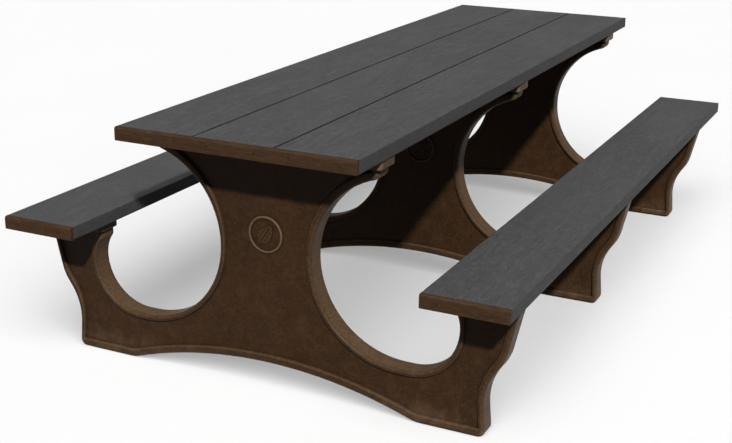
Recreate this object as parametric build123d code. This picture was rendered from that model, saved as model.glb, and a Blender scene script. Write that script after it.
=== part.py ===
from build123d import *
import math
import os

# Eight-foot picnic table in recycled-plastic lumber on three moulded frames.
# Millimetres. +Z is up, +Y runs along the planks, +X across the table.
# The origin is on the ground, under the middle of the table top.

# ---- Driving dimensions: lumber and overall size --------------------------------
TABLE_LENGTH = 2438.0        # end board to end board, eight feet
TABLE_HEIGHT = 745.0         # ground to the top of the table planks
SEAT_HEIGHT = 437.0          # ground to the top of the seat planks
PLANK_WIDTH = 233.0          # nominal ten-inch board
PLANK_THICK = 38.0           # nominal two-inch board
PLANK_GAP = 6.0              # joint between neighbouring table planks
TABLE_PLANKS = ("left", "centre", "right")
SEAT_X = 640.0               # centre of each seat plank from the middle
PLANK_EDGE_R = 2.0           # eased long edges of the lumber
END_BOARD_DEPTH = 14.0       # trim boards over the plank ends, measured along the table
END_BOARD_TOP_R = 8.0        # rounding of their upper outer edge
END_BOARD_EDGE_R = 2.0       # easing of their lower outer edge

# ---- Driving dimensions: moulded frame -------------------------------------------
FRAME_Y = {"near": -1029.0, "middle": 0.0, "far": 1029.0}
RIM_THICK = 64.0             # across the raised rim, along the table
WEB_THICK = 44.0             # across the recessed panel inside the rim
RIM_WIDTH = 15.0             # raised rim round the openings and down the posts
SOLE_RIM_WIDTH = 24.0        # raised rim along the feet and the arch
RIM_OUTER_R = 10.0           # rounding of the rim's outer edges
RIM_INNER_R = 3.0            # rounding of the rim's crest beside the panel
PANEL_CORNER_R = 12.0        # inside corners of the panel

# Plates on top of the rims, wide enough for lag screws on both sides of the panel.
TABLE_PLATE = dict(reach=(-350.0, 350.0), width=92.0, thick=26.0)
SEAT_PLATE = dict(reach=(538.0, 735.0), width=84.0, thick=24.0)
PLATE_EDGE_R = 3.0
PLATE_CORNER_R = 12.0        # corners of a plate seen from above

TABLE_RIM_HALF = 338.0       # half length of the rim under the table plate
OPENING_R = 258.0            # round leg opening
OPENING_X, OPENING_Z = 400.0, 403.0
POST_ARC_R = 143.0           # lower outer corner of the leg opening
POST_ARC_X = 425.0
POST_TOP_R = 104.0           # post leaning in to carry the seat
POST_IN, POST_OUT = 545.0, 727.0         # the post's rim under the seat plate
POST_NOSE = 27.0             # upright end of the post's rim
POST_WAIST = (693.0, 222.0)  # corners of the post's outer edge, with their bends
POST_WAIST_R = 130.0
POST_ANKLE = (636.0, 140.0)
POST_ANKLE_R = 165.0
FOOT_OUT, FOOT_IN = 648.0, 450.0
ARCH_RISE = 77.0             # ground to the crown of the arch between the feet
NOSE_R = 12.0                # ends of the rim under the planks
TABLE_NOSE_R = 20.0          # lower corner of the rim's end under the table
POST_SHOULDER_R = 40.0       # where the post's outer edge leaves its upright end
FOOT_TOE_R, FOOT_HEEL_R = 20.0, 90.0

# Moulded roundel on the column: a plain ring with one leaf.
ROUNDEL_Z = 452.0
ROUNDEL_R = 53.0
ROUNDEL_RING = 8.0
ROUNDEL_RISE = 5.0
LEAF_LENGTH, LEAF_ARC_R = 66.0, 40.0
LEAF_RIB_LENGTH, LEAF_RIB_WIDTH = 59.0, 2.4
LEAF_RIB_DROP = 8.0          # the rib stops short of the leaf's tip
LEAF_TURN = -35.0

# ---- Driving dimensions: fasteners ------------------------------------------------
LAG_R = 3.175                # quarter-inch lag screw
LAG_HEAD_AF = 11.1
LAG_HEAD_H = 4.4
LAG_HEAD_CHAMFER = 0.6
LAG_TIP_R = 0.4
LAG_POINT = 6.0
LAG_CLEARANCE_R = 3.6        # hole in the plate and in the washer
PILOT_R = 3.2                # hole in the lumber
WASHER_R, WASHER_T = 8.0, 1.5
LAG_LENGTH = 57.0
TABLE_LAG_Y, SEAT_LAG_Y = 36.0, 31.0     # either side of the frame's web
LAG_SPREAD = 52.0            # table lags from the plank's centre line
SEAT_LAG_SPREAD = 34.0       # seat lags from SEAT_LAG_X
SEAT_LAG_X = 638.0

FLAT_HEAD_R, FLAT_HEAD_H = 4.6, 3.4      # countersunk screws in the end boards
FLAT_SHANK_R = 2.4
FLAT_LENGTH = 50.0
FLAT_SPREAD = 70.0           # from the plank's centre line
FLAT_CLEARANCE = 0.03

# ---- Worked-out places ------------------------------------------------------------
TABLE_UNDER = TABLE_HEIGHT - PLANK_THICK
SEAT_UNDER = SEAT_HEIGHT - PLANK_THICK
PLANK_LENGTH = TABLE_LENGTH - 2 * END_BOARD_DEPTH
PLANK_PITCH = PLANK_WIDTH + PLANK_GAP
TABLE_WIDTH = 3 * PLANK_WIDTH + 2 * PLANK_GAP
TABLE_PLANK_X = {name: (i - 1) * PLANK_PITCH for i, name in enumerate(TABLE_PLANKS)}
SEAT_PLANK_X = {"left": -SEAT_X, "right": SEAT_X}
END_SIGN = {"near": -1, "far": 1}
END_BOARD_Y = (TABLE_LENGTH - END_BOARD_DEPTH) / 2
CUT = 1.0                    # overrun of cutting tools past a face


def corner(face, x, z, radius):
    """Round the two mirrored outline corners nearest to (x, z) and (-x, z)."""
    picked = [
        face.vertices().sort_by_distance(Vector(side * x, z, 0))[0] for side in (-1, 1)
    ]
    return fillet(picked, radius)


def frame_outline():
    """Front outline of a frame, drawn in XY with the drawing's Y as height."""
    nose_z = OPENING_Z + math.sqrt(OPENING_R**2 - (OPENING_X - TABLE_RIM_HALF) ** 2)
    opening_start = math.degrees(math.atan2(nose_z - OPENING_Z, TABLE_RIM_HALF - OPENING_X))
    opening_foot = OPENING_Z - OPENING_R
    post_z = opening_foot + POST_ARC_R
    lean_x = POST_ARC_X + POST_ARC_R - POST_TOP_R
    lean = math.degrees(math.acos((POST_IN - lean_x) / POST_TOP_R))
    arch_r = (FOOT_IN**2 + ARCH_RISE**2) / (2 * ARCH_RISE)
    arch_start = math.degrees(math.acos(FOOT_IN / arch_r))
    with BuildLine() as half:
        top = Line((0, TABLE_UNDER), (TABLE_RIM_HALF, TABLE_UNDER))
        Line(top @ 1, (TABLE_RIM_HALF, nose_z))
        CenterArc((OPENING_X, OPENING_Z), OPENING_R, opening_start, 270 - opening_start)
        Line((OPENING_X, opening_foot), (POST_ARC_X, opening_foot))
        CenterArc((POST_ARC_X, post_z), POST_ARC_R, 270, 90)
        post_top = CenterArc((lean_x, post_z), POST_TOP_R, 0, lean)
        Line(post_top @ 1, (POST_IN, SEAT_UNDER))
        Line((POST_IN, SEAT_UNDER), (POST_OUT, SEAT_UNDER))
        nose = Line((POST_OUT, SEAT_UNDER), (POST_OUT, SEAT_UNDER - POST_NOSE))
        FilletPolyline(
            nose @ 1, POST_WAIST, POST_ANKLE, (FOOT_OUT, 0), radius=(POST_WAIST_R, POST_ANKLE_R)
        )
        Line((FOOT_OUT, 0), (FOOT_IN, 0))
        CenterArc((0, ARCH_RISE - arch_r), arch_r, arch_start, 90 - arch_start)
        mirror(half.line, about=Plane.YZ)
    face = make_face(half.line)
    corners = (
        (TABLE_RIM_HALF, TABLE_UNDER, NOSE_R),
        (TABLE_RIM_HALF, nose_z, TABLE_NOSE_R),
        (POST_IN, SEAT_UNDER, NOSE_R),
        (POST_IN, (post_top @ 1).Y, NOSE_R),
        (POST_OUT, SEAT_UNDER, NOSE_R),
        (POST_OUT, SEAT_UNDER - POST_NOSE, POST_SHOULDER_R),
        (FOOT_OUT, 0, FOOT_TOE_R),
        (FOOT_IN, 0, FOOT_HEEL_R),
    )
    for x, z, radius in corners:
        face = corner(face, x, z, radius)
    return face


def standing(sketch):
    """Turn a drawing in XY up into the XZ plane."""
    return Plane.XZ * sketch


def slab(sketch, thick):
    """Upright slab of a drawing, centred on the frame's plane."""
    return extrude(standing(sketch), amount=thick / 2, both=True)


def at_face(edges, y):
    """Those edges that lie in the plane at y, on either side of the frame."""
    return [e for e in edges if abs(abs(e.center().Y) - y) < 0.01]


def panel_outline(outline):
    """Recessed panel: the outline less the rim, with a deeper rim along the ground."""
    core = offset(outline, -RIM_WIDTH - PANEL_CORNER_R)
    core = core & Pos(0, SOLE_RIM_WIDTH - RIM_WIDTH) * core
    return offset(core, PANEL_CORNER_R)


def plate(spec, top):
    """Mounting plate across the frame, its upper face at z = top."""
    start, end = spec["reach"]
    block = Box(end - start, spec["width"], spec["thick"])
    block = Pos((start + end) / 2, 0, top - spec["thick"] / 2) * block
    block = fillet(block.edges().filter_by(Axis.Z), PLATE_CORNER_R)
    lower = block.faces().sort_by(Axis.Z)[0]
    return fillet(lower.edges(), PLATE_EDGE_R)


def leaf():
    """Pointed leaf with a mid rib, between two arcs."""
    tip = LEAF_LENGTH / 2
    with BuildLine() as edge:
        RadiusArc((0, -tip), (0, tip), LEAF_ARC_R)
        RadiusArc((0, tip), (0, -tip), LEAF_ARC_R)
    blade = make_face(edge.line)
    rib = Pos(0, -LEAF_RIB_DROP) * Rectangle(LEAF_RIB_WIDTH, LEAF_RIB_LENGTH)
    return blade - rib


def roundel():
    """Raised ring and leaf that stand on the column's panel, facing -Y."""
    ring = Circle(ROUNDEL_R) - Circle(ROUNDEL_R - ROUNDEL_RING)
    badge = Pos(0, ROUNDEL_Z) * (ring + Rot(0, 0, LEAF_TURN) * leaf())
    face_y = -WEB_THICK / 2
    return Pos(0, face_y, 0) * extrude(standing(badge), amount=ROUNDEL_RISE)


def lag_places():
    """(x, y) of the lag screws through a frame's table plate and its seat plates."""
    table = []
    for x in TABLE_PLANK_X.values():
        table += [(x - LAG_SPREAD, -TABLE_LAG_Y), (x + LAG_SPREAD, TABLE_LAG_Y)]
    seat = []
    for side in (-1, 1):
        inner, outer = SEAT_LAG_X - SEAT_LAG_SPREAD, SEAT_LAG_X + SEAT_LAG_SPREAD
        seat += [(side * inner, -SEAT_LAG_Y), (side * outer, SEAT_LAG_Y)]
    return table, seat


def frame():
    """One moulded frame, standing across the table at y = 0."""
    outline = frame_outline()
    rim = slab(outline, RIM_THICK)
    rim = fillet(at_face(rim.edges(), RIM_THICK / 2), RIM_OUTER_R)
    panel = panel_outline(outline)
    recessed = rim - (slab(panel, RIM_THICK + 2 * CUT) - slab(panel, WEB_THICK))
    crest = at_face(new_edges(rim, combined=recessed), RIM_THICK / 2)
    body = fillet(crest, RIM_INNER_R) + roundel()
    seat_plate = plate(SEAT_PLATE, SEAT_UNDER)
    for part in (plate(TABLE_PLATE, TABLE_UNDER), seat_plate, mirror(seat_plate, about=Plane.YZ)):
        body += part
    table_lags, seat_lags = lag_places()
    for x, y in table_lags:
        body -= Pos(x, y, TABLE_UNDER) * Cylinder(LAG_CLEARANCE_R, 3 * TABLE_PLATE["thick"])
    for x, y in seat_lags:
        body -= Pos(x, y, SEAT_UNDER) * Cylinder(LAG_CLEARANCE_R, 3 * SEAT_PLATE["thick"])
    return body


def plank(width, length):
    """Board lying flat, its underside at z = 0, with eased long edges."""
    board = Pos(0, 0, PLANK_THICK / 2) * Box(width, length, PLANK_THICK)
    return fillet(board.edges().filter_by(Axis.Y), PLANK_EDGE_R)


def end_board(width):
    """Trim board facing -Y over the plank ends, its underside at z = 0."""
    board = Pos(0, 0, PLANK_THICK / 2) * Box(width, END_BOARD_DEPTH, PLANK_THICK)
    outer = board.faces().sort_by(Axis.Y)[0].edges().filter_by(Axis.X)
    board = fillet(outer.sort_by(Axis.Z)[-1], END_BOARD_TOP_R)
    outer = board.faces().sort_by(Axis.Y)[0].edges().filter_by(Axis.X)
    return fillet(outer.sort_by(Axis.Z)[0], END_BOARD_EDGE_R)


def lag_screw(length):
    """Hex-head lag screw pointing up, the underside of its head at z = 0."""
    head = extrude(RegularPolygon(LAG_HEAD_AF / 2, 6, major_radius=False), amount=-LAG_HEAD_H)
    head = chamfer(head.faces().sort_by(Axis.Z)[0].edges(), LAG_HEAD_CHAMFER)
    shank_length = length - LAG_POINT
    shank = Pos(0, 0, shank_length / 2) * Cylinder(LAG_R, shank_length)
    point = Pos(0, 0, length - LAG_POINT / 2) * Cone(LAG_R, LAG_TIP_R, LAG_POINT)
    return head + shank + point


def washer():
    """Flat washer hanging under a plate, its top at z = 0."""
    disc = Cylinder(WASHER_R, WASHER_T) - Cylinder(LAG_CLEARANCE_R, WASHER_T)
    return Pos(0, 0, -WASHER_T / 2) * disc


def flat_screw(clearance=0.0):
    """Countersunk screw lying along +Y, the face of its head at y = 0."""
    head_r, shank_r = FLAT_HEAD_R + clearance, FLAT_SHANK_R + clearance
    shank_length = FLAT_LENGTH - FLAT_HEAD_H
    head = Pos(0, 0, FLAT_HEAD_H / 2) * Cone(head_r, shank_r, FLAT_HEAD_H)
    shank = Pos(0, 0, FLAT_HEAD_H + shank_length / 2) * Cylinder(shank_r, shank_length)
    return Rot(-90, 0, 0) * (head + shank)


def pilot(length):
    """Drill for a lag screw's hole up into the lumber."""
    return Pos(0, 0, length / 2) * Cylinder(PILOT_R, length)


def lag_group(places, place, y):
    """Lag-screw places of one frame; the far frame is turned round."""
    turn = -1 if place == "far" else 1
    return [(turn * x, y + turn * beside) for x, beside in places]


def across_plank(x):
    """Places of the two end-board screws across one plank."""
    return [x - FLAT_SPREAD, x + FLAT_SPREAD]


def end_screw_at(x, sign, z, clearance=0.0):
    """Countersunk screw driven in from one end of a board whose underside is at z."""
    turn = Rot(0, 0, 0) if sign < 0 else Rot(0, 0, 180)
    return Pos(x, sign * TABLE_LENGTH / 2, z + PLANK_THICK / 2) * turn * flat_screw(clearance)


def drilled_plank(x, z, frame_lags, bite):
    """Plank at x with its pilots from below and its screw holes at both ends."""
    board = Pos(x, 0, z) * plank(PLANK_WIDTH, PLANK_LENGTH)
    for lag_x, lag_y in frame_lags:
        if abs(lag_x - x) < PLANK_WIDTH / 2:
            board -= Pos(lag_x, lag_y, z) * pilot(bite + CUT)
    for sign in END_SIGN.values():
        for screw_x in across_plank(x):
            board -= end_screw_at(screw_x, sign, z, FLAT_CLEARANCE)
    return board


def drilled_end_board(x, sign, z, width, screw_xs):
    """End board at x with its countersunk holes."""
    turn = Rot(0, 0, 0) if sign < 0 else Rot(0, 0, 180)
    board = Pos(x, sign * END_BOARD_Y, z) * turn * end_board(width)
    for screw_x in screw_xs:
        board -= end_screw_at(screw_x, sign, z, FLAT_CLEARANCE)
    return board


def save(name, *solids):
    """Write one node: a single piece, or a group of alike fasteners."""
    node = solids[0] if len(solids) == 1 else Compound(children=solids)
    export_step(node, f"parts/{name}.step")


def save_group(name, fastener, places, z):
    """Write one node of alike fasteners, one at each (x, y)."""
    save(name, *[Pos(x, y, z) * fastener for x, y in places])


os.makedirs("parts", exist_ok=True)

# Moulded frames. The far one is turned round so that its roundel faces outwards.
moulding = frame()
for place, y in FRAME_Y.items():
    turn = Rot(0, 0, 180) if place == "far" else Rot(0, 0, 0)
    save(f"frame_{place}", Pos(0, y, 0) * turn * moulding)

# Lag screws and washers, up through the frames' plates into the planks.
at_table, at_seat = lag_places()
under_table = TABLE_UNDER - TABLE_PLATE["thick"]
under_seat = SEAT_UNDER - SEAT_PLATE["thick"]
table_lags, seat_lags = [], []
for place, y in FRAME_Y.items():
    here_table = lag_group(at_table, place, y)
    here_seat = lag_group(at_seat, place, y)
    save_group(f"table_washers_{place}", washer(), here_table, under_table)
    save_group(f"seat_washers_{place}", washer(), here_seat, under_seat)
    save_group(f"table_lag_screws_{place}", lag_screw(LAG_LENGTH), here_table, under_table - WASHER_T)
    save_group(f"seat_lag_screws_{place}", lag_screw(LAG_LENGTH), here_seat, under_seat - WASHER_T)
    table_lags += here_table
    seat_lags += here_seat

# Planks of the table top and the seats.
table_bite = LAG_LENGTH - TABLE_PLATE["thick"] - WASHER_T
seat_bite = LAG_LENGTH - SEAT_PLATE["thick"] - WASHER_T
for name, x in TABLE_PLANK_X.items():
    save(f"table_plank_{name}", drilled_plank(x, TABLE_UNDER, table_lags, table_bite))
for name, x in SEAT_PLANK_X.items():
    save(f"seat_plank_{name}", drilled_plank(x, SEAT_UNDER, seat_lags, seat_bite))

# End boards and their countersunk screws.
table_screw_xs = [x for middle in TABLE_PLANK_X.values() for x in across_plank(middle)]
for place, sign in END_SIGN.items():
    board = drilled_end_board(0, sign, TABLE_UNDER, TABLE_WIDTH, table_screw_xs)
    save(f"table_end_board_{place}", board)
    save(f"table_end_screws_{place}", *[end_screw_at(x, sign, TABLE_UNDER) for x in table_screw_xs])
    for name, x in SEAT_PLANK_X.items():
        screw_xs = across_plank(x)
        board = drilled_end_board(x, sign, SEAT_UNDER, PLANK_WIDTH, screw_xs)
        save(f"seat_end_board_{name}_{place}", board)
        screws = [end_screw_at(screw_x, sign, SEAT_UNDER) for screw_x in screw_xs]
        save(f"seat_end_screws_{name}_{place}", *screws)
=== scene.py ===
import math

import bmesh
import bpy
import numpy as np
from mathutils import Matrix, Vector, geometry, noise


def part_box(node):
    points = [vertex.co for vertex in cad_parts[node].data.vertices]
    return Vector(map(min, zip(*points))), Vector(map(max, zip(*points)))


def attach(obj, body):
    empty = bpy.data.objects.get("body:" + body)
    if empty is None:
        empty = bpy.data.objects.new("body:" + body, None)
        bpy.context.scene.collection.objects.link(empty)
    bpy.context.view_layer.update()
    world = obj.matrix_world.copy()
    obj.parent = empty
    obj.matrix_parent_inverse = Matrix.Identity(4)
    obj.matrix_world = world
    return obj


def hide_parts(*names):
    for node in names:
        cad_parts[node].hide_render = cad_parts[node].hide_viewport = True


# Picnic table in recycled-plastic lumber on three moulded frames. Metres, in the CAD's frame.
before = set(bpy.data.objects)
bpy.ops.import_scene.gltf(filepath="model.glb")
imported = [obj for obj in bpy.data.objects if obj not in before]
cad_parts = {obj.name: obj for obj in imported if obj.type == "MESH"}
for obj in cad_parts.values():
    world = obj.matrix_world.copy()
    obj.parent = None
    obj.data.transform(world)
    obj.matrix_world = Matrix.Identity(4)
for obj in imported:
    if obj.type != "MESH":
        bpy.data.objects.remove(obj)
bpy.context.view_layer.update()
MM = 0.001
CREASE = math.radians(38)
PLACES = ("near", "middle", "far")       # of the frames
ENDS = ("near", "far")                   # of the boards

# ---- Camera ------------------------------------------------------------------------
SENSOR_MM, LENS_MM = 36.0, 61.025
CAMERA_PLACE = Vector((1.6203, -3.7646, 1.5429))
CAMERA_YAW = math.radians(25.96)         # turned to the left of +Y
CAMERA_PITCH = math.radians(18.46)       # looking down
CAMERA_ROLL = math.radians(0.58)

# ---- Light -------------------------------------------------------------------------
KEY_TRAVEL = Vector((-93, 156, -141))    # from the front right, high up
KEY_STRENGTH, KEY_SOFTNESS = 5.6, math.radians(2.5)
TOP_TRAVEL = Vector((0.1, 0.25, -1.0))   # broad soft light from overhead, as from an open sky
TOP_STRENGTH, TOP_SOFTNESS = 1.3, math.radians(80)
REAR_TRAVEL = Vector((0.5, -1.0, -0.3))  # soft light on the faces turned away from the key
REAR_STRENGTH, REAR_SOFTNESS = 3.0, math.radians(60)
FLOOR_SOFTNESS = math.radians(70)        # the floor's own light is softer, so its shadows stay faint
FLOOR_KEY_STRENGTH = 3.6
FLOOR_WASH_STRENGTH = 2.5                # casts no shadow, so the floor stays pale under the table
FILL_STRENGTH = 0.07
BACKGROUND_STRENGTH = 0.95               # pale background where the floor ends
FLOOR_SIZE, FLOOR_TONE = 60.0, 0.8

# ---- Lumber ------------------------------------------------------------------------
EDGE_R = 2.0 * MM            # eased long edges
END_R = 0.8 * MM             # eased ends
TRIM_TOP_R = 8.0 * MM        # upper outer edge of the end boards
TRIM_EDGE_R = 2.0 * MM       # their other edges
EDGE_STEPS = 5
ACROSS_STEP = 9.0 * MM       # mesh spacing across a board
ALONG_STEP = 20.0 * MM       # mesh spacing along a board
RIPPLE = 0.3 * MM            # depth of the extrusion's ripples
RIPPLES_ACROSS, RIPPLES_ALONG = 16.0, 3.5    # per metre
RIPPLE_SHIFT = 5.0           # makes each board's ripples its own

# ---- Moulded frames ----------------------------------------------------------------
RIM_HALF = 32.0 * MM         # half thickness at the rim's crest
WEB_HALF = 22.0 * MM         # half thickness of the recessed panel
RIM_ROUND = 10.0 * MM        # rounding of the rim's outer edge
RIM_ROUND_ANGLES = (18, 36, 54, 72, 90)      # degrees, where that rounding gets mesh points
RIM_WALL_LEVELS = (-0.5, 0.0, 0.5)           # mesh rows across the rim's flat wall, as shares
SOLE_EXTRA = 9.0 * MM        # the rim is deeper by this along the ground
# Distance from the outline, and half thickness there, from the rim's crest down to the panel.
RIM_INNER = [(d * MM, h * MM) for d, h in (
    (11.0, 32.0), (12.6, 31.7), (14.0, 30.8), (14.9, 29.2), (15.5, 25.0), (16.2, 23.0), (18.0, 22.0),
)]
PANEL_RING = 22.0 * MM       # last ring of mesh points that follows the outline
PANEL_START = 27.0 * MM      # the panel's even field of mesh points starts here
RING_SLACK = 0.15 * MM       # a ring's points this much nearer to another edge are dropped
MERGE_GAP = 0.05 * MM        # mesh points nearer than this are one
WELD_GAP = 0.01 * MM         # the same for the CAD meshes
OUTLINE_STEP = 7.0 * MM
OUTLINE_SHORTEST = 0.4       # of that step
PANEL_STEP = 14.0 * MM
PANEL_ROWS = 0.87            # of that step, between rows of an even field
PANEL_WAVE = 0.3 * MM        # unevenness of the moulded panel
PANEL_WAVES = 7.0            # per metre
PANEL_WAVE_SLICE = 3.1       # which slice of the noise they follow
DISTANCE_BATCH = 1500        # points measured at once
SECTION_SHIFT = 2.0 * MM     # the outline is taken beside the middle plane, clear of its edges

PLATE_CORNER_R = 12.0 * MM
PLATE_EDGE_R = 3.0 * MM
PLATE_EDGE_ANGLES = (90, 60, 30, 0)
PLATE_SIDE_STEP = 40.0 * MM
TABLE_PLATE = dict(x=(-350.0, 350.0), half_width=46.0, thick=26.0)
SEAT_PLATE = dict(x=(538.0, 735.0), half_width=42.0, thick=24.0)

ROUNDEL_Z = 452.0 * MM
ROUNDEL_R = 49.0 * MM        # middle of the ring
ROUNDEL_WIDTH = 8.0 * MM
ROUNDEL_RISE = 5.0 * MM
ROUNDEL_SUNK = 1.5 * MM      # the ring and leaf start this deep in the panel
ROUNDEL_TURNS = 72
ROUNDEL_ANGLES = range(180, -1, -30)         # degrees, across the ring's half-round top
LEAF_LENGTH, LEAF_WIDTH = 66.0 * MM, 34.0 * MM
LEAF_TIP_HALF = 0.2 * MM     # half width left at its tips
LEAF_TAPER = 0.25            # how much fuller it is near the stem
LEAF_POINTEDNESS = 0.8       # power of its outline; higher is more pointed
LEAF_TILT = math.radians(35)
LEAF_STEPS = (48, 24)        # along, across
LEAF_BORDER = 0.6            # share of the rise at the leaf's border
LEAF_RIB, LEAF_RIB_HALF = 2.2 * MM, 1.5 * MM     # depth and half width of the mid rib's groove
LEAF_VEIN, LEAF_VEINS = 1.4 * MM, 3.2            # depth of the veins, and how many
LEAF_VEIN_SLANT, LEAF_VEIN_THINNESS, LEAF_VEIN_FADE = 0.55, 14, 0.3
LEAF_LOWEST = 0.3 * MM       # the grooves stay this far over the panel

# ---- Fasteners ---------------------------------------------------------------------
ROUND_STEPS = 24             # mesh points round a screw
LAG_R, LAG_ROOT_R = 3.175 * MM, 2.3 * MM
LAG_PITCH = 2.5 * MM
LAG_HEAD_AF, LAG_HEAD_H = 11.1 * MM, 4.4 * MM
LAG_FACE_SHARE = 0.95        # of the distance across flats, the head's round face
LAG_DIMPLE_SHARE = 0.55      # of that face, the head's flat middle
LAG_CHAMFER_H, LAG_CHAMFER = 0.35 * MM, 0.6 * MM
LAG_HEAD_EASE = 0.2 * MM
LAG_SHANK, LAG_SHANK_END, LAG_THREAD = 8.0 * MM, 8.6 * MM, 9.0 * MM    # the thread starts at the last
LAG_POINT = 6.0 * MM
LAG_HOLE_R = 3.6 * MM
DRILL_BELOW, DRILL_ABOVE = 40.0 * MM, 60.0 * MM  # reach of the drills through the plates
PILOT_OVER = 0.5 * MM        # the pilots are deeper than the screws by this
PILOT_STEPS = 16
WASHER_R = 8.0 * MM
WASHER_EASE = 0.25 * MM
WASHER_TURNS = 40
FLAT_HEAD_R, FLAT_HEAD_H = 4.6 * MM, 3.4 * MM
FLAT_HEAD_SUNK = 0.35 * MM   # under the board's face
FLAT_HEAD_EASE, FLAT_RIM_DROP, FLAT_RIM_EASE = 0.25 * MM, 0.15 * MM, 0.05 * MM   # its rounded rim
FLAT_R, FLAT_ROOT_R, FLAT_PITCH = 2.4 * MM, 1.7 * MM, 2.0 * MM
FLAT_SHANK, FLAT_SHANK_END, FLAT_THREAD = 14.0 * MM, 14.6 * MM, 15.0 * MM
FLAT_POINT = 5.0 * MM
FLAT_SOCKET, FLAT_SOCKET_DEPTH = 1.6 * MM, 2.2 * MM  # half width of the square drive, and its depth
FLAT_SOCKET_TAPER = 0.8
HOLE_SLACK = 0.12 * MM       # round the end-board screws
HOLE_OVER = 2.0 * MM         # how far the cutter stands out of the board
HOLE_CONE = 0.5 * MM         # the countersink is deeper than the head by this
THREAD_SHARPNESS = 3.4       # higher leaves narrower ridges
THREAD_POINT = 0.06          # share of the radius left at the tip
THREAD_ROWS = 4              # mesh rows in one pitch


def make_camera():
    """Camera at the height and angle the table is seen from."""
    forward = Vector((
        -math.sin(CAMERA_YAW) * math.cos(CAMERA_PITCH),
        math.cos(CAMERA_YAW) * math.cos(CAMERA_PITCH),
        -math.sin(CAMERA_PITCH),
    ))
    level = Vector((math.cos(CAMERA_YAW), math.sin(CAMERA_YAW), 0.0))
    upright = level.cross(forward)
    right = math.cos(CAMERA_ROLL) * level + math.sin(CAMERA_ROLL) * upright
    up = math.cos(CAMERA_ROLL) * upright - math.sin(CAMERA_ROLL) * level
    data = bpy.data.cameras.new("camera")
    data.sensor_fit = "HORIZONTAL"
    data.sensor_width = SENSOR_MM
    data.lens = LENS_MM
    camera = bpy.data.objects.new("camera", data)
    camera.matrix_world = Matrix((right, up, -forward)).transposed().to_4x4()
    camera.location = CAMERA_PLACE
    bpy.context.scene.collection.objects.link(camera)
    bpy.context.scene.camera = camera


# ---- Mesh helpers ------------------------------------------------------------------
def new_object(name, verts, faces):
    """Closed mesh object with smooth shading up to the crease angle."""
    mesh = bpy.data.meshes.new(name)
    mesh.from_pydata([tuple(v) for v in verts], [], faces)
    piece = bpy.data.objects.new(name, mesh)
    bpy.context.scene.collection.objects.link(piece)
    bm = bmesh.new()
    bm.from_mesh(mesh)
    bmesh.ops.recalc_face_normals(bm, faces=bm.faces)
    bm.to_mesh(mesh)
    bm.free()
    mesh.shade_smooth()
    mesh.set_sharp_from_angle(angle=CREASE)
    return piece


def loft(rings):
    """Vertices and faces of a tube through closed rings, with flat ends."""
    count = len(rings[0])
    verts = [v for ring in rings for v in ring]
    faces = []
    for r in range(len(rings) - 1):
        for i in range(count):
            j = (i + 1) % count
            a, b = r * count, (r + 1) * count
            faces.append((a + i, a + j, b + j, b + i))
    faces.append(tuple(range(count))[::-1])
    last = (len(rings) - 1) * count
    faces.append(tuple(last + i for i in range(count)))
    return verts, faces


def rounded_rectangle(half_u, half_v, radii, side_step, arc_steps=EDGE_STEPS):
    """Points round a rectangle, with their outward normals; radii go anticlockwise from +u +v."""
    points = []
    signs = ((1, 1), (-1, 1), (-1, -1), (1, -1))
    for quarter, ((sign_u, sign_v), radius) in enumerate(zip(signs, radii)):
        centre_u, centre_v = sign_u * (half_u - radius), sign_v * (half_v - radius)
        for s in range(arc_steps + 1):
            a = math.radians(90 * (quarter + s / arc_steps))
            n = (math.cos(a), math.sin(a))
            points.append((centre_u + radius * n[0], centre_v + radius * n[1], *n))
    spaced = []
    for i, here in enumerate(points):
        there = points[(i + 1) % len(points)]
        pieces = max(1, round(math.dist(here[:2], there[:2]) / side_step))
        for s in range(pieces):
            spaced.append([h + (t - h) * s / pieces for h, t in zip(here, there)])
    return spaced


def turned(levels, segments):
    """Vertices and faces about +Z from (height, radius) levels; a radius may vary with angle."""
    rings = []
    for z, radius in levels:
        ring = []
        for k in range(segments):
            a = 2 * math.pi * k / segments
            r = radius(a) if callable(radius) else radius
            ring.append((r * math.cos(a), r * math.sin(a), z))
        rings.append(ring)
    return loft(rings)


def many(name, shape, places, turn=Matrix.Identity(4)):
    """One mesh with a copy of a shape at each place."""
    verts, faces = shape
    turned_verts = [turn @ Vector(v) for v in verts]
    all_verts, all_faces = [], []
    for place in places:
        start = len(all_verts)
        all_verts += [v + place for v in turned_verts]
        all_faces += [tuple(start + i for i in face) for face in faces]
    return new_object(name, all_verts, all_faces)


def combine(base, other, operation):
    """Fuse another closed mesh into base, or cut it away."""
    step = base.modifiers.new("combine", "BOOLEAN")
    step.operation = operation
    step.solver = "MANIFOLD"
    step.object = other
    graph = bpy.context.evaluated_depsgraph_get()
    made = bpy.data.meshes.new_from_object(base.evaluated_get(graph))
    base.modifiers.clear()
    base.data = made
    bpy.data.objects.remove(other)


def islands(node):
    """Boxes, (low, high), of the separate solids in a CAD node."""
    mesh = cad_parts[node].data
    bm = bmesh.new()
    bm.from_mesh(mesh)
    bmesh.ops.remove_doubles(bm, verts=bm.verts, dist=WELD_GAP)
    left, boxes = set(bm.verts), []
    while left:
        stack, found = [left.pop()], []
        while stack:
            v = stack.pop()
            found.append(v.co)
            for e in v.link_edges:
                w = e.other_vert(v)
                if w in left:
                    left.remove(w)
                    stack.append(w)
        corners = [Vector([pick(c[k] for c in found) for k in range(3)]) for pick in (min, max)]
        boxes.append(corners)
    bm.free()
    return sorted(boxes, key=lambda box: (round(box[0].x, 4), round(box[0].y, 4)))


def dress(piece, node, material):
    """Finish a piece: its material and body, with its CAD node hidden."""
    piece.data.materials.clear()
    piece.data.materials.append(material)
    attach(piece, "root")
    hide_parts(node)


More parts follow.
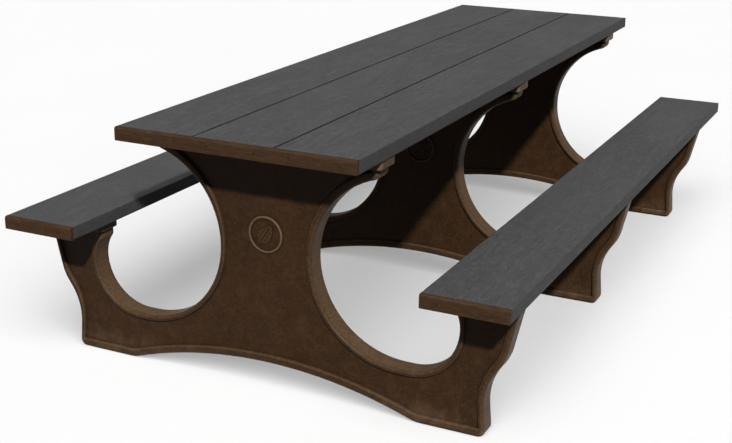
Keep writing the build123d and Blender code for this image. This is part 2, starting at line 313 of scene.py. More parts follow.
# ---- Boards ------------------------------------------------------------------------
def board(name, node, axis, radii, material, holes=()):
    """Extruded plastic board in the box of a CAD node, its length along axis 0 or 1."""
    low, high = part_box(node)
    other = 1 - axis
    centre, half = (low + high) / 2, (high - low) / 2
    section = rounded_rectangle(half[other], half[2], radii, ACROSS_STEP)
    count = max(2, round(2 * half[axis] / ALONG_STEP))
    stations = [half[axis] * (2 * i / count - 1) for i in range(count + 1)]
    first, last = stations[0], stations[-1]
    stations = [first, first + END_R, *stations[1:-1], last - END_R, last]
    rings = []
    for number, along in enumerate(stations):
        inset = END_R if number in (0, len(stations) - 1) else 0.0
        ring = []
        for u, v, normal_u, normal_v in section:
            wave = Vector((
                u * RIPPLES_ACROSS + centre[other] * RIPPLE_SHIFT,
                along * RIPPLES_ALONG,
                v * RIPPLES_ACROSS + centre[2] * RIPPLE_SHIFT,
            ))
            depth = RIPPLE * (0.5 + 0.5 * noise.noise(wave)) + inset
            place = Vector((0, 0, 0))
            place[other] = centre[other] + u - normal_u * depth
            place[2] = centre[2] + v - normal_v * depth
            place[axis] = centre[axis] + along
            ring.append(place)
        rings.append(ring)
    piece = new_object(name, *loft(rings))
    for hole in holes:
        combine(piece, hole, "DIFFERENCE")
    piece.data.shade_smooth()
    piece.data.set_sharp_from_angle(angle=CREASE)
    dress(piece, node, material)


# ---- Moulded frame -----------------------------------------------------------------
def section_loop(node, y):
    """Ordered outline, (x, z), of a CAD node where the upright plane at y cuts it."""
    bm = bmesh.new()
    bm.from_mesh(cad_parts[node].data)
    bmesh.ops.remove_doubles(bm, verts=bm.verts, dist=WELD_GAP)
    geom = bm.verts[:] + bm.edges[:] + bm.faces[:]
    cut = bmesh.ops.bisect_plane(bm, geom=geom, plane_co=(0, y, 0), plane_no=(0, 1, 0))
    edges = [e for e in cut["geom_cut"] if isinstance(e, bmesh.types.BMEdge)]
    neighbours = {}
    for e in edges:
        a, b = e.verts
        neighbours.setdefault(a, []).append(b)
        neighbours.setdefault(b, []).append(a)
    start = edges[0].verts[0]
    walk, before, here = [start], None, start
    while True:
        ahead = [v for v in neighbours[here] if v is not before]
        before, here = here, ahead[0]
        if here is start:
            break
        walk.append(here)
    loop = np.array([(v.co.x, v.co.z) for v in walk])
    bm.free()
    ahead = np.roll(loop, -1, axis=0)
    area = np.sum(loop[:, 0] * ahead[:, 1] - ahead[:, 0] * loop[:, 1])
    return loop if area > 0 else loop[::-1]


def split_runs(loop, longest):
    """The same outline with no run longer than longest."""
    out = []
    for here, there in zip(loop, np.roll(loop, -1, axis=0)):
        pieces = max(1, math.ceil(np.linalg.norm(there - here) / longest))
        out += [here + (there - here) * s / pieces for s in range(pieces)]
    return np.array(out)


def refine(loop):
    """One round of four-point subdivision, which keeps curves smooth."""
    a, b, c, d = (np.roll(loop, k, axis=0) for k in (1, 0, -1, -2))
    middle = (9 * (b + c) - (a + d)) / 16
    return np.stack([loop, middle], axis=1).reshape(-1, 2)


def thin_out(loop, shortest):
    """Drop points nearer than shortest to the one before."""
    kept = [loop[0]]
    for point in loop[1:]:
        if np.linalg.norm(point - kept[-1]) >= shortest:
            kept.append(point)
    return np.array(kept)


def distance_to(points, loop):
    """Distance of each point from a closed outline."""
    run = np.roll(loop, -1, axis=0) - loop
    length2 = np.sum(run**2, axis=1)
    found = []
    for part in np.array_split(points, max(1, len(points) // DISTANCE_BATCH)):
        away = part[:, None] - loop[None]
        t = np.clip(np.sum(away * run, axis=2) / length2, 0, 1)
        gap = away - t[..., None] * run
        found.append(np.sqrt(np.min(np.sum(gap**2, axis=2), axis=1)))
    return np.concatenate(found)


def inward_normals(loop):
    """Unit normals that point into an anticlockwise outline."""
    tangent = np.roll(loop, -1, axis=0) - np.roll(loop, 1, axis=0)
    tangent /= np.linalg.norm(tangent, axis=1)[:, None]
    return np.stack([-tangent[:, 1], tangent[:, 0]], axis=1)


def panel_distance(points, loop):
    """Distance that decides where the rim ends: the ground rim counts from higher up."""
    return np.minimum(distance_to(points, loop), distance_to(points - (0, SOLE_EXTRA), loop))


def half_thickness(points, loop):
    """Half thickness of the moulding at each point inside its outline."""
    near_edge = np.clip(distance_to(points, loop), 0, RIM_ROUND)
    outer = RIM_HALF - RIM_ROUND + np.sqrt(RIM_ROUND**2 - (RIM_ROUND - near_edge) ** 2)
    step = panel_distance(points, loop)
    inner = np.interp(step, [d for d, _ in RIM_INNER], [h for _, h in RIM_INNER])
    wave = np.array([
        noise.noise(Vector((x * PANEL_WAVES, z * PANEL_WAVES, PANEL_WAVE_SLICE))) for x, z in points
    ])
    settled = np.clip((step - RIM_INNER[-1][0]) / PANEL_STEP, 0, 1)
    return np.minimum(outer, inner) + PANEL_WAVE * wave * settled


def moulding_points(loop):
    """Points inside the outline: rings that follow the rim, then an even field."""
    normals = inward_normals(loop)
    rings = []
    for angle in RIM_ROUND_ANGLES:
        depth = RIM_ROUND * (1 - math.cos(math.radians(angle)))
        ring = loop + normals * depth
        rings.append(ring[distance_to(ring, loop) > depth - RING_SLACK])
    for depth in [d for d, _ in RIM_INNER] + [PANEL_RING]:
        for lift in (0.0, SOLE_EXTRA):
            ring = loop + normals * depth + (0, lift)
            rings.append(ring[panel_distance(ring, loop) > depth - RING_SLACK])
    low, high = loop.min(axis=0), loop.max(axis=0)
    rows = np.arange(low[1], high[1], PANEL_STEP * PANEL_ROWS)
    grid = [
        (x + (PANEL_STEP / 2 if r % 2 else 0), z)
        for r, z in enumerate(rows)
        for x in np.arange(low[0], high[0], PANEL_STEP)
    ]
    return rings, np.array(grid)


def winding_inside(points, loop):
    """Which points lie inside the outline."""
    here, there = loop, np.roll(loop, -1, axis=0)
    inside = np.zeros(len(points), bool)
    for (x0, z0), (x1, z1) in zip(here, there):
        crosses = (z0 > points[:, 1]) != (z1 > points[:, 1])
        if z1 == z0:
            continue
        at = (x1 - x0) * (points[:, 1] - z0) / (z1 - z0) + x0
        inside ^= crosses & (points[:, 0] < at)
    return inside


def moulding_mesh(loop):
    """Vertices and faces of the rim and panel, centred on y = 0."""
    rings, grid = moulding_points(loop)
    grid = grid[winding_inside(grid, loop)]
    grid = grid[panel_distance(grid, loop) > PANEL_START]
    points = np.concatenate([loop, *rings, grid])
    edges = [(i, (i + 1) % len(loop)) for i in range(len(loop))]
    made = geometry.delaunay_2d_cdt([Vector(p) for p in points], edges, [], 1, MERGE_GAP)
    flat, triangles, origins = np.array([tuple(v) for v in made[0]]), made[2], made[3]
    half = half_thickness(flat, loop)
    rim_of = {}
    for v, sources in enumerate(origins):
        rim_of.update((origin, v) for origin in sources if origin < len(loop))
    rim = [rim_of[i] for i in range(len(loop))]
    wall_half = RIM_HALF - RIM_ROUND
    half[rim] = wall_half
    count = len(flat)
    verts = [(x, side * h, z) for side in (-1, 1) for (x, z), h in zip(flat, half)]
    faces = [tuple(t) for t in triangles] + [tuple(count + v for v in t[::-1]) for t in triangles]
    levels = [rim]
    for share in RIM_WALL_LEVELS:
        start = len(verts)
        verts += [(flat[v][0], share * wall_half, flat[v][1]) for v in rim]
        levels.append(list(range(start, start + len(rim))))
    levels.append([count + v for v in rim])
    for front, back in zip(levels, levels[1:]):
        for i in range(len(rim)):
            j = (i + 1) % len(rim)
            faces.append((front[j], front[i], back[i], back[j]))
    return verts, faces


def plate_mesh(name, spec, top):
    """Mounting plate with rounded corners and eased lower edges."""
    x0, x1 = (v * MM for v in spec["x"])
    half_x, half_y = (x1 - x0) / 2, spec["half_width"] * MM
    bottom = top - spec["thick"] * MM
    levels = [(0.0, top)]
    for angle in PLATE_EDGE_ANGLES:
        a = math.radians(angle)
        levels.append((PLATE_EDGE_R * (1 - math.sin(a)), bottom + PLATE_EDGE_R * (1 - math.cos(a))))
    section = rounded_rectangle(half_x, half_y, [PLATE_CORNER_R] * 4, PLATE_SIDE_STEP)
    middle = (x0 + x1) / 2
    rings = [
        [(middle + u - normal_u * inset, v - normal_v * inset, z) for u, v, normal_u, normal_v in section]
        for inset, z in levels
    ]
    return new_object(name, *loft(rings))


def roundel_ring():
    """Raised ring with a half-round top, sunk a little into the panel."""
    profile = [(-ROUNDEL_WIDTH / 2, ROUNDEL_SUNK)]
    for angle in ROUNDEL_ANGLES:
        a = math.radians(angle)
        profile.append((ROUNDEL_WIDTH / 2 * math.cos(a), -ROUNDEL_RISE * math.sin(a)))
    profile.append((ROUNDEL_WIDTH / 2, ROUNDEL_SUNK))
    verts, faces = [], []
    for t in range(ROUNDEL_TURNS):
        a = 2 * math.pi * t / ROUNDEL_TURNS
        for r, rise in profile:
            radius = ROUNDEL_R + r
            verts.append((radius * math.cos(a), -WEB_HALF + rise, ROUNDEL_Z + radius * math.sin(a)))
    count = len(profile)
    for t in range(ROUNDEL_TURNS):
        for k in range(count):
            a, b = t * count, ((t + 1) % ROUNDEL_TURNS) * count
            m = (k + 1) % count
            faces.append((a + k, a + m, b + m, b + k))
    return new_object("roundel_ring", verts, faces)


def roundel_leaf():
    """Domed leaf with a mid rib and side veins pressed into it."""
    along_steps, across_steps = LEAF_STEPS
    verts, faces = [], []
    for i in range(along_steps + 1):
        s = -1 + 2 * i / along_steps
        half = LEAF_WIDTH / 2 * (1 - s * s) ** LEAF_POINTEDNESS * (1 - LEAF_TAPER * s) + LEAF_TIP_HALF
        for j in range(across_steps + 1):
            w = -1 + 2 * j / across_steps
            u, v = w * half, s * LEAF_LENGTH / 2
            dome = ROUNDEL_RISE * (LEAF_BORDER + (1 - LEAF_BORDER) * (1 - w * w))
            rib = LEAF_RIB * math.exp(-((u / LEAF_RIB_HALF) ** 2))
            wave = math.sin(math.pi * LEAF_VEINS * (s - LEAF_VEIN_SLANT * abs(w)))
            vein = abs(wave) ** LEAF_VEIN_THINNESS * (1 - abs(w)) ** LEAF_VEIN_FADE
            rise = dome - rib - LEAF_VEIN * vein
            x = u * math.cos(LEAF_TILT) + v * math.sin(LEAF_TILT)
            z = -u * math.sin(LEAF_TILT) + v * math.cos(LEAF_TILT)
            verts.append((x, -WEB_HALF - max(rise, LEAF_LOWEST), ROUNDEL_Z + z))
    row = across_steps + 1
    top = len(verts)
    verts += [(x, -WEB_HALF + ROUNDEL_SUNK, z) for x, _, z in verts[:top]]
    for i in range(along_steps):
        for j in range(across_steps):
            a = i * row + j
            faces.append((a, a + 1, a + row + 1, a + row))
            faces.append((top + a, top + a + row, top + a + row + 1, top + a + 1))
    border = (
        list(range(row))
        + [i * row + row - 1 for i in range(1, along_steps + 1)]
        + [along_steps * row + j for j in range(row - 2, -1, -1)]
        + [i * row for i in range(along_steps - 1, 0, -1)]
    )
    for k, a in enumerate(border):
        b = border[(k + 1) % len(border)]
        faces.append((a, top + a, top + b, b))
    return new_object("roundel_leaf", verts, faces)


def make_frames(material):
    """Three copies of one moulding; the far one faces the other way."""
    low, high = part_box("frame_middle")
    middle = (low.y + high.y) / 2
    loop = section_loop("frame_middle", middle + SECTION_SHIFT)
    loop = thin_out(refine(split_runs(loop, 2 * OUTLINE_STEP)), OUTLINE_STEP * OUTLINE_SHORTEST)
    moulding = new_object("moulding", *moulding_mesh(loop))
    table_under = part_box("table_plank_centre")[0].z
    seat_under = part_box("seat_plank_left")[0].z
    mirrored = dict(SEAT_PLATE, x=tuple(-v for v in SEAT_PLATE["x"][::-1]))
    for part in (
        plate_mesh("table_plate", TABLE_PLATE, table_under),
        plate_mesh("seat_plate_right", SEAT_PLATE, seat_under),
        plate_mesh("seat_plate_left", mirrored, seat_under),
        roundel_ring(),
        roundel_leaf(),
    ):
        combine(moulding, part, "UNION")
    drill = turned([(-DRILL_BELOW, LAG_HOLE_R), (DRILL_ABOVE, LAG_HOLE_R)], ROUND_STEPS)
    for group in ("table", "seat"):
        boxes = islands(f"{group}_washers_middle")
        places = [(box_low + box_high) / 2 for box_low, box_high in boxes]
        combine(moulding, many("drills", drill, places), "DIFFERENCE")
    for v in moulding.data.vertices:
        v.co.z = max(v.co.z, low.z)
    moulding.data.shade_smooth()
    moulding.data.set_sharp_from_angle(angle=CREASE)
    for place in PLACES:
        node = f"frame_{place}"
        low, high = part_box(node)
        piece = bpy.data.objects.new(f"moulded_{node}", moulding.data.copy())
        turn = Matrix.Rotation(math.pi if place == "far" else 0.0, 4, "Z")
        piece.data.transform(Matrix.Translation((0, (low.y + high.y) / 2, 0)) @ turn)
        bpy.context.scene.collection.objects.link(piece)
        dress(piece, node, material)
    bpy.data.objects.remove(moulding)


# ---- Fasteners ---------------------------------------------------------------------
def hexagon(across_flats):
    """Radius of a hexagon as a function of angle."""
    def radius(a):
        return across_flats / 2 / math.cos((a + math.pi / 6) % (math.pi / 3) - math.pi / 6)
    return radius


def square(half_width):
    """Radius of a square as a function of angle."""
    def radius(a):
        return half_width / math.cos((a + math.pi / 4) % (math.pi / 2) - math.pi / 4)
    return radius


def thread(start, end, tip, outer, root, pitch):
    """Levels of a screw thread from start to end, then a point at tip."""
    levels, z = [], start
    while z < tip:
        taper = 1.0
        if z > end:
            taper = min(1.0, max(THREAD_POINT, (tip - z) / (tip - end)))

        def radius(a, z=z, taper=taper):
            phase = (z / pitch - a / (2 * math.pi)) % 1.0
            crest = max(0.0, 1 - abs(phase - 0.5) * THREAD_SHARPNESS)
            return taper * (root + (outer - root) * crest)

        levels.append((z, radius))
        z += pitch / THREAD_ROWS
    return levels + [(tip, root * THREAD_POINT)]


def lag_screws(node, material):
    """Hex-head lag screws pointing up, in the boxes of the CAD node's solids."""
    boxes = islands(node)
    length = boxes[0][1].z - boxes[0][0].z - LAG_HEAD_H
    face_r = LAG_HEAD_AF / 2 * LAG_FACE_SHARE
    hexed = hexagon(LAG_HEAD_AF)
    head = [
        (-LAG_HEAD_H, face_r * LAG_DIMPLE_SHARE),
        (-LAG_HEAD_H, face_r),
        (-LAG_HEAD_H + LAG_CHAMFER_H, lambda a: min(hexed(a), face_r + LAG_CHAMFER)),
        (-LAG_HEAD_H + 2 * LAG_CHAMFER_H, hexed),
        (-LAG_HEAD_EASE, hexed),
        (0.0, lambda a: hexed(a) - LAG_HEAD_EASE),
        (0.0, LAG_R),
    ]
    shank = [(LAG_SHANK, LAG_R), (LAG_SHANK_END, LAG_ROOT_R)]
    ridge = thread(LAG_THREAD, length - LAG_POINT, length, LAG_R, LAG_ROOT_R, LAG_PITCH)
    screw = turned(head + shank + ridge, ROUND_STEPS)
    places = [
        Vector(((low.x + high.x) / 2, (low.y + high.y) / 2, low.z + LAG_HEAD_H)) for low, high in boxes
    ]
    dress(many(f"{node}_turned", screw, places), node, material)


def washers(node, material):
    """Flat washers with eased rims."""
    boxes = islands(node)
    thick, ease = boxes[0][1].z - boxes[0][0].z, WASHER_EASE
    section = [
        (LAG_HOLE_R, ease), (LAG_HOLE_R + ease, 0), (WASHER_R - ease, 0), (WASHER_R, ease),
        (WASHER_R, thick - ease), (WASHER_R - ease, thick),
        (LAG_HOLE_R + ease, thick), (LAG_HOLE_R, thick - ease),
    ]
    count = len(section)
    verts, faces = [], []
    for t in range(WASHER_TURNS):
        a = 2 * math.pi * t / WASHER_TURNS
        verts += [(r * math.cos(a), r * math.sin(a), z) for r, z in section]
        here, ahead = t * count, (t + 1) % WASHER_TURNS * count
        for k in range(count):
            m = (k + 1) % count
            faces.append((here + k, here + m, ahead + m, ahead + k))
    places = [Vector(((low.x + high.x) / 2, (low.y + high.y) / 2, low.z)) for low, high in boxes]
    dress(many(f"{node}_pressed", (verts, faces), places), node, material)


def end_screw_places(node):
    """Centres of the screws in the end boards' outer face, the turn that points them in, their length."""
    boxes = islands(node)
    near = boxes[0][0].y < 0
    places = [
        Vector(((low.x + high.x) / 2, low.y if near else high.y, (low.z + high.z) / 2))
        for low, high in boxes
    ]
    turn = Matrix.Rotation(math.radians(-90.0 if near else 90.0), 4, "X")
    return places, turn, boxes[0][1].y - boxes[0][0].y


def end_screws(node, material):
    """Countersunk square-drive screws, their heads a hair under the board's face."""
    places, turn, length = end_screw_places(node)
    sunk = FLAT_HEAD_SUNK
    levels = [
        (sunk + FLAT_SOCKET_DEPTH, square(FLAT_SOCKET * FLAT_SOCKET_TAPER)),
        (sunk, square(FLAT_SOCKET)),
        (sunk, FLAT_HEAD_R - FLAT_HEAD_EASE),
        (sunk + FLAT_RIM_DROP, FLAT_HEAD_R - FLAT_RIM_EASE),
        (sunk + FLAT_HEAD_H, FLAT_R),
        (FLAT_SHANK, FLAT_R),
        (FLAT_SHANK_END, FLAT_ROOT_R),
    ]
    ridge = thread(FLAT_THREAD, length - FLAT_POINT, length, FLAT_R, FLAT_ROOT_R, FLAT_PITCH)
    screw = turned(levels + ridge, ROUND_STEPS)
    dress(many(f"{node}_turned", screw, places, turn), node, material)


def end_screw_holes(node):
    """Cutter for the countersunk holes of a group of end-board screws."""
    places, turn, length = end_screw_places(node)
    head_r, shank_r = FLAT_HEAD_R + HOLE_SLACK, FLAT_R + HOLE_SLACK
    levels = [
        (-HOLE_OVER, head_r),
        (FLAT_HEAD_SUNK, head_r),
        (HOLE_CONE + FLAT_HEAD_H, shank_r),
        (length + HOLE_SLACK, shank_r),
    ]
    return many("holes", turned(levels, ROUND_STEPS), places, turn)


def lag_holes(group):
    """Cutter for the pilots of every frame's lag screws, up into the planks."""
    places, length = [], 0.0
    for place in PLACES:
        for low, high in islands(f"{group}_lag_screws_{place}"):
            places.append(Vector(((low.x + high.x) / 2, (low.y + high.y) / 2, high.z)))
            length = high.z - low.z
    return many("pilots", turned([(-length, LAG_R), (PILOT_OVER, LAG_R)], PILOT_STEPS), places)


# ---- Materials ---------------------------------------------------------------------
class Surface:
    """A Principled material whose colour, roughness and bump come from 3-D noise."""

    def __init__(self, name):
        self.material = bpy.data.materials.new(name)
        self.material.use_nodes = True
        self.tree = self.material.node_tree
        self.shader = self.tree.nodes["Principled BSDF"]
        self.coordinates = self.tree.nodes.new("ShaderNodeTexCoord").outputs["Object"]

    def node(self, kind, inputs=(), **settings):
        """A new node, with its inputs linked to sockets or set to values."""
        made = self.tree.nodes.new(kind)
        for key, value in settings.items():
            setattr(made, key, value)
        for key, value in dict(inputs).items():
            if isinstance(value, bpy.types.NodeSocket):
                self.tree.links.new(value, made.inputs[key])
            else:
                made.inputs[key].default_value = value
        return made

    def noise(self, per_metre, detail=3.0, roughness=0.55, distortion=0.0, shift=0.0):
        """Noise with its own number of features per metre along each axis."""
        stretched = self.node("ShaderNodeMapping", {
            "Vector": self.coordinates, "Scale": per_metre, "Location": (shift, shift, shift),
        })
        return self.node("ShaderNodeTexNoise", {
            "Vector": stretched.outputs[0], "Scale": 1.0, "Detail": detail,
            "Roughness": roughness, "Distortion": distortion,
        }).outputs["Fac"]

    def remap(self, value, low, high, to_low=0.0, to_high=1.0):
        """The range from low to high, spread over that from to_low to to_high."""
        return self.node("ShaderNodeMapRange", {
            "Value": value, "From Min": low, "From Max": high, "To Min": to_low, "To Max": to_high,
        }).outputs["Result"]

    def mix(self, share, first, second):
        """Mix of two colours, each a socket or an RGB triple."""
        made = self.node("ShaderNodeMix", {0: share}, data_type="RGBA")
        for index, value in ((6, first), (7, second)):
            if isinstance(value, bpy.types.NodeSocket):
                self.tree.links.new(value, made.inputs[index])
            else:
                made.inputs[index].default_value = (*value, 1.0)
        return made.outputs[2]

    def times(self, first, second):
        """Product of two sockets."""
        return self.node("ShaderNodeMath", {0: first, 1: second}, operation="MULTIPLY").outputs[0]

    def height(self):
        """Height over the ground, in metres."""
        return self.node("ShaderNodeSeparateXYZ", {0: self.coordinates}).outputs["Z"]

    def across_y(self):
        """How far a face looks along Y, from 0 on the rims' walls to 1 on the panel."""
        normal = self.node("ShaderNodeTexCoord").outputs["Normal"]
        y = self.node("ShaderNodeSeparateXYZ", {0: normal}).outputs["Y"]
        return self.node("ShaderNodeMath", {0: y}, operation="ABSOLUTE").outputs[0]

    def curvature_mask(self, low, high):
        """From the mesh's own curvature: high on convex edges, or in creases when low is above high."""
        pointed = self.node("ShaderNodeNewGeometry").outputs["Pointiness"]
        return self.remap(pointed, low, high)

    def crevice_shade(self, reach, low, high):
        """High in joints and grooves, where the surroundings close in within reach: the mask for painted
        shade there.
        """
        open_share = self.node("ShaderNodeAmbientOcclusion", {"Distance": reach}, samples=8)
        return self.remap(open_share.outputs["AO"], high, low)

    def finish(self, colour, roughness, reliefs, specular, metallic=0.0):
        """Wire the shader; reliefs are (height socket, depth in metres)."""
        links = self.tree.links
        links.new(colour, self.shader.inputs["Base Color"])
        links.new(roughness, self.shader.inputs["Roughness"])
        self.shader.inputs["Specular IOR Level"].default_value = specular
        self.shader.inputs["Metallic"].default_value = metallic
        normal = None
        for height, depth in reliefs:
            inputs = {"Height": height, "Distance": depth, "Strength": 1.0}
            if normal:
                inputs["Normal"] = normal
            normal = self.node("ShaderNodeBump", inputs).outputs["Normal"]
        links.new(normal, self.shader.inputs["Normal"])
        return self.material


def lumber(name, axis, dark, pale, dust, grime_and_shade, shift, specular):
    """Extruded recycled-plastic board: wavy lengthwise streaks, fine fibres, dust, and painted shade with
    some grime in its joints.
    """
    look = Surface(name)

    def grained(along, across, **settings):
        per_metre = [across] * 3
        per_metre[axis] = along
        return look.noise(per_metre, shift=shift, **settings)

    streaks = grained(along=9.0, across=230.0, detail=4.0, roughness=0.62, distortion=0.8)
    grain = grained(along=38.0, across=120.0, detail=4.0, roughness=0.66, distortion=0.5)
    fibres = grained(along=60.0, across=900.0, detail=3.0, roughness=0.7, distortion=0.4)
    speckle = grained(along=1100.0, across=1100.0, detail=2.0, roughness=0.6)
    patches = grained(along=3.0, across=8.0, detail=3.0, roughness=0.6, distortion=0.5)
    colour = look.mix(look.remap(streaks, 0.3, 0.7), dark, pale)
    colour = look.mix(look.remap(grain, 0.5, 0.72, to_high=0.4), colour, dust)
    colour = look.mix(look.remap(grain, 0.48, 0.3, to_high=0.5), colour, dark)
    colour = look.mix(look.remap(fibres, 0.5, 0.78, to_high=0.3), colour, dust)
    colour = look.mix(look.remap(patches, 0.45, 0.8, to_high=0.15), colour, dust)
    wear = look.times(look.curvature_mask(0.51, 0.6), look.remap(streaks, 0.4, 0.7, to_high=0.3))
    colour = look.mix(wear, colour, dust)
    # Painted shade, with some grime, darkens the joints between boards where the surroundings close in.
    colour = look.mix(look.crevice_shade(14 * MM, 0.35, 0.8), colour, grime_and_shade)
    streaky, patchy = look.remap(streaks, 0.3, 0.7, 0.58, 0.72), look.remap(patches, 0.3, 0.7, 0.94, 1.12)
    reliefs = [(grain, 0.7 * MM), (streaks, 0.3 * MM), (fibres, 0.15 * MM), (speckle, 0.06 * MM)]
    return look.finish(colour, look.times(streaky, patchy), reliefs, specular)


def moulded_plastic(name, dark, middle, pale, dust, grime_and_shade, specular):
    """Moulded recycled plastic: flow marks, mottling, grit, scuffed feet, rims worn paler with painted
    light on their walls and a painted highlight on their crests, and painted shade in creases and grooves.
    """
    look = Surface(name)
    flow = look.noise([5.0, 5.0, 3.2], detail=5.0, roughness=0.6, distortion=2.4)
    mottle = look.noise([26.0] * 3, detail=4.0, roughness=0.62, distortion=0.6, shift=3.7)
    grit = look.noise([130.0, 130.0, 210.0], detail=4.0, roughness=0.66, distortion=0.7, shift=6.2)
    speckle = look.noise([620.0, 620.0, 900.0], detail=3.0, roughness=0.7, distortion=0.8, shift=1.3)
    peel = look.noise([190.0] * 3, detail=2.0, roughness=0.5, shift=8.1)
    colour = look.mix(look.remap(flow, 0.32, 0.7), dark, middle)
    colour = look.mix(look.remap(mottle, 0.48, 0.75, to_high=0.4), colour, pale)
    colour = look.mix(look.remap(grit, 0.5, 0.7, to_high=0.5), colour, pale)
    colour = look.mix(look.remap(grit, 0.46, 0.28, to_high=0.6), colour, dark)
    colour = look.mix(look.remap(speckle, 0.52, 0.75, to_high=0.6), colour, pale)
    colour = look.mix(look.remap(speckle, 0.44, 0.25, to_high=0.55), colour, dark)
    scuffs = look.times(look.remap(look.height(), 80 * MM, 0.0), look.remap(mottle, 0.4, 0.65, 0.05, 0.32))
    colour = look.mix(scuffs, colour, dust)
    # The rims' walls are painted paler: partly scuffing, partly painted light on the faces turned up and
    # sideways.
    walls_worn_and_lit = look.times(look.remap(look.across_y(), 0.5, 0.05), look.remap(grit, 0.3, 0.65, 0.2, 0.5))
    colour = look.mix(walls_worn_and_lit, colour, dust)
    # The rims' crests: worn paler, and a painted highlight along them.
    wear = look.times(look.curvature_mask(0.515, 0.57), look.remap(grit, 0.3, 0.6, 0.5, 1.0))
    colour = look.mix(wear, colour, dust)
    # Painted shade in creases, where the mesh curves inward.
    colour = look.mix(look.curvature_mask(0.485, 0.4), colour, grime_and_shade)
    # Painted shade, with some grime, in the grooves under the rims.
    colour = look.mix(look.crevice_shade(16 * MM, 0.4, 0.85), colour, grime_and_shade)
    mottled, speckled = look.remap(mottle, 0.3, 0.7, 0.4, 0.54), look.remap(speckle, 0.3, 0.7, 0.94, 1.1)
    reliefs = [(mottle, 0.5 * MM), (grit, 0.5 * MM), (peel, 0.2 * MM), (speckle, 0.12 * MM)]
    return look.finish(colour, look.times(mottled, speckled), reliefs, specular)


def metal(name, dark, pale, specular, metallic, roughness):
    """Fastener metal or its coating: fine turned marks and dull patches."""
    look = Surface(name)
    marks = look.noise([900.0, 900.0, 5000.0], detail=3.0, roughness=0.6)
    patches = look.noise([160.0] * 3, detail=3.0, roughness=0.6, shift=2.9)
    colour = look.mix(look.remap(patches, 0.3, 0.7), dark, pale)
    gloss = look.remap(patches, 0.3, 0.7, roughness, roughness + 0.18)
    return look.finish(colour, gloss, [(marks, 0.03 * MM)], specular, metallic)


def pale_floor(name, tone):
    """Plain pale studio floor with barely visible unevenness."""
    look = Surface(name)
    patches = look.noise([1.3] * 3)
    fine = look.noise([300.0] * 3, detail=2.0)
    colour = look.mix(look.remap(patches, 0.3, 0.7), (tone * 0.99,) * 3, (tone,) * 3)
    return look.finish(colour, look.remap(fine, 0.3, 0.7, 0.75, 0.85), [(fine, 0.05 * MM)], specular=0.1)


# ---- Stage -------------------------------------------------------------------------
def make_floor():
    """Plain floor, which takes shadows but gives the pieces no glow."""
    bpy.ops.mesh.primitive_plane_add(size=FLOOR_SIZE)
    floor = bpy.context.object
    floor.name = "floor"
    floor.data.materials.append(pale_floor("pale_floor", FLOOR_TONE))
    floor.visible_diffuse = False    # its glow would wash out the shadows under the table
    return floor


def make_world():
    """Weak fill from all round, seen as a pale background."""
    world = bpy.data.worlds.new("studio")
    world.use_nodes = True
    nodes, links = world.node_tree.nodes, world.node_tree.links
    fill = nodes["Background"]
    seen = nodes.new("ShaderNodeBackground")
    for background, strength in ((fill, FILL_STRENGTH), (seen, BACKGROUND_STRENGTH)):
        background.inputs["Color"].default_value = (1, 1, 1, 1)
        background.inputs["Strength"].default_value = strength
    choice = nodes.new("ShaderNodeMixShader")
    links.new(nodes.new("ShaderNodeLightPath").outputs["Is Camera Ray"], choice.inputs[0])
    links.new(fill.outputs[0], choice.inputs[1])
    links.new(seen.outputs[0], choice.inputs[2])
    links.new(choice.outputs[0], nodes["World Output"].inputs["Surface"])
    bpy.context.scene.world = world


def add_light(name, travel, strength, softness, lit, shadows=True, glare=True):
    """Sunlight that travels one way and falls only on the objects in lit."""
    sun = bpy.data.lights.new(name, "SUN")
    sun.use_shadow = shadows
    sun.energy = strength
    sun.angle = softness
    light = bpy.data.objects.new(name, sun)
    light.rotation_mode = "QUATERNION"
    light.rotation_quaternion = travel.to_track_quat("-Z", "Y")
    light.visible_glossy = glare
    bpy.context.scene.collection.objects.link(light)
    receivers = bpy.data.collections.new(f"lit_by_{name}")
    for piece in lit:
        receivers.objects.link(piece)
    light.light_linking.receiver_collection = receivers


def make_stage():
    """Floor, soft fill and the lights, some for the pieces and some for the floor."""
    floor = make_floor()
    make_world()
    bpy.context.scene.view_settings.view_transform = "Standard"
    pieces = [o for o in bpy.context.scene.objects if o.type == "MESH" and o is not floor]
    add_light("key", KEY_TRAVEL, KEY_STRENGTH, KEY_SOFTNESS, pieces)
    add_light("top", TOP_TRAVEL, TOP_STRENGTH, TOP_SOFTNESS, pieces)
    add_light("rear", REAR_TRAVEL, REAR_STRENGTH, REAR_SOFTNESS, pieces, glare=False)
    add_light("floor_key", KEY_TRAVEL, FLOOR_KEY_STRENGTH, FLOOR_SOFTNESS, [floor])
    add_light("floor_wash", KEY_TRAVEL, FLOOR_WASH_STRENGTH, FLOOR_SOFTNESS, [floor], shadows=False)
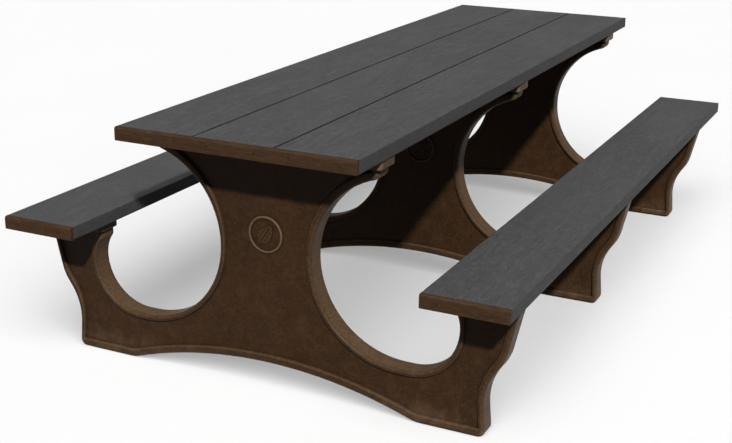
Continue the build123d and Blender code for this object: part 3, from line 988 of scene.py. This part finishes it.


# ---- The table ---------------------------------------------------------------------
# The darkest colour of each board gives the painted shade in its joints.
black_lumber = lumber(
    "black_lumber", axis=1, shift=0.0, specular=0.12,
    dark=(0.03, 0.03, 0.0305), pale=(0.0455, 0.0455, 0.0455), dust=(0.081, 0.08, 0.078),
    grime_and_shade=(0.005, 0.005, 0.005),
)
brown_lumber = lumber(
    "brown_lumber", axis=0, shift=5.3, specular=0.12,
    dark=(0.018, 0.0083, 0.0030), pale=(0.036, 0.0172, 0.0066), dust=(0.066, 0.038, 0.019),
    grime_and_shade=(0.005, 0.0025, 0.0012),
)
# Its palest colour also gives the painted highlight on the rims' crests and the painted light on their
# walls; its darkest gives the painted shade in creases and grooves.
brown_moulding = moulded_plastic(
    "brown_moulding", specular=0.08,
    dark=(0.0155, 0.0068, 0.0021), middle=(0.028, 0.0127, 0.0044), pale=(0.056, 0.0295, 0.0135),
    dust=(0.15, 0.096, 0.057), grime_and_shade=(0.004, 0.002, 0.0009),
)
stainless = metal(
    "stainless_steel", dark=(0.42, 0.42, 0.41), pale=(0.6, 0.6, 0.59),
    specular=0.5, metallic=1.0, roughness=0.3,
)
brown_coating = metal(
    "brown_screw", dark=(0.018, 0.009, 0.0035), pale=(0.034, 0.0175, 0.008),
    specular=0.12, metallic=0.0, roughness=0.5,
)

make_camera()
long_edges = [EDGE_R] * 4
for side in ("left", "centre", "right"):
    holes = [lag_holes("table")] + [end_screw_holes(f"table_end_screws_{end}") for end in ENDS]
    board(
        f"table_board_{side}", f"table_plank_{side}", 1, long_edges,
        black_lumber, holes,
    )
for side in ("left", "right"):
    holes = [lag_holes("seat")] + [end_screw_holes(f"seat_end_screws_{side}_{end}") for end in ENDS]
    board(
        f"seat_board_{side}", f"seat_plank_{side}", 1, long_edges,
        black_lumber, holes,
    )
for end, outer_top in (("near", 1), ("far", 0)):
    radii = [TRIM_EDGE_R] * 4
    radii[outer_top] = TRIM_TOP_R
    for kind, suffix in (("table", end), ("seat", f"left_{end}"), ("seat", f"right_{end}")):
        screws = f"{kind}_end_screws_{suffix}"
        board(
            f"{kind}_trim_{suffix}", f"{kind}_end_board_{suffix}", 0, radii,
            brown_lumber, [end_screw_holes(screws)],
        )
        end_screws(screws, brown_coating)
for kind in ("table", "seat"):
    for place in PLACES:
        lag_screws(f"{kind}_lag_screws_{place}", stainless)
        washers(f"{kind}_washers_{place}", stainless)
make_frames(brown_moulding)
make_stage()
